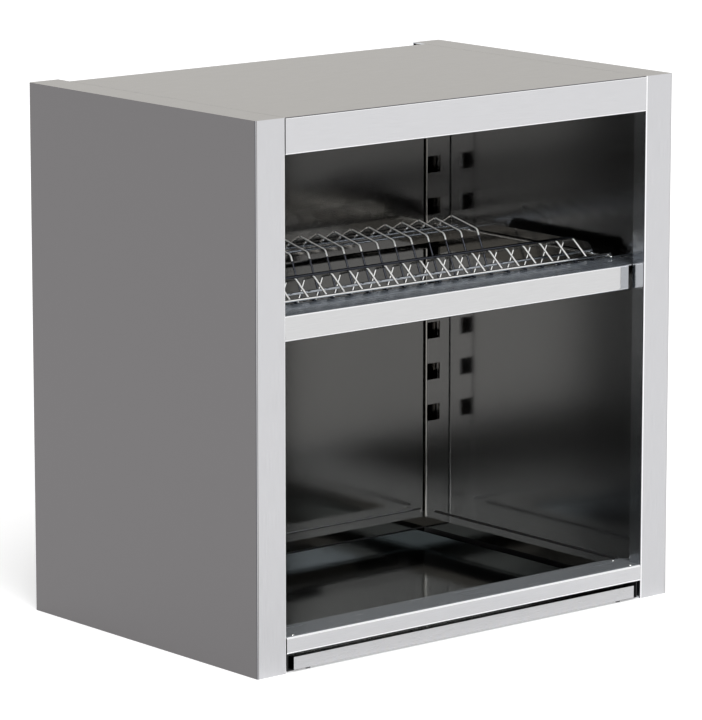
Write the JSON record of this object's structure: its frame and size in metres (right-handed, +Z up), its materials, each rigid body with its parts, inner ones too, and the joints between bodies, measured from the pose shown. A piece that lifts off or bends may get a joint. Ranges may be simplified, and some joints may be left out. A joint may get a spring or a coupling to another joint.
{
  "type": "wall plate rack",
  "caption": "Open-fronted stainless steel wall plate rack with a lift-out wire plate holder on a hooked carrier frame and a shallow drip tray that slides out below.",
  "frame": {"origin": "middle of the base, at the bottom edge of the side panels", "axes": "+X to the right seen from the front, +Y from the open front to the wall, +Z up"},
  "size_m": [0.6, 0.4, 0.6],
  "materials": {
    "shell_steel": "brushed, satin",
    "inner_steel": "bright rolled",
    "floor_steel": "bright rolled",
    "tray_steel": "brushed, satin",
    "frame_steel": "bright rolled",
    "wire_steel": "polished",
    "runner_black": "matt"
  },
  "bodies": {
    "cabinet": {"side_panel_left": "shell_steel", "side_panel_right": "shell_steel", "top_panel": "shell_steel", "back_panel": "inner_steel", "bottom_frame": "floor_steel", "slotted_upright_left": "inner_steel", "slotted_upright_right": "inner_steel", "tray_runner_left": "runner_black", "tray_runner_right": "runner_black", "frame_front_member": "frame_steel", "frame_rear_member": "frame_steel", "frame_side_member_left": "frame_steel", "frame_side_member_right": "frame_steel", "support_bracket_left": "frame_steel", "support_bracket_right": "frame_steel"},
    "drip_tray": {"drip_tray": "tray_steel"},
    "plate_rack": {"plate_wires": "wire_steel", "rack_front_wire": "wire_steel", "rack_rear_wire": "wire_steel", "rack_crest_rail": "wire_steel", "rack_middle_rail": "wire_steel", "trough_rail_front": "wire_steel", "trough_rail_rear": "wire_steel", "rack_back_rail": "wire_steel", "rack_side_wire_left": "wire_steel", "rack_side_wire_right": "wire_steel"}
  },
  "joints": [
    {"name": "tray_slide", "type": "slide", "parent": "cabinet", "child": "drip_tray", "axis": [0, -1, 0], "range_m": [0, 0.3]},
    {"name": "rack_lift", "type": "slide", "parent": "cabinet", "child": "plate_rack", "axis": [0, 0, 1], "range_m": [0, 0.12]}
  ]
}
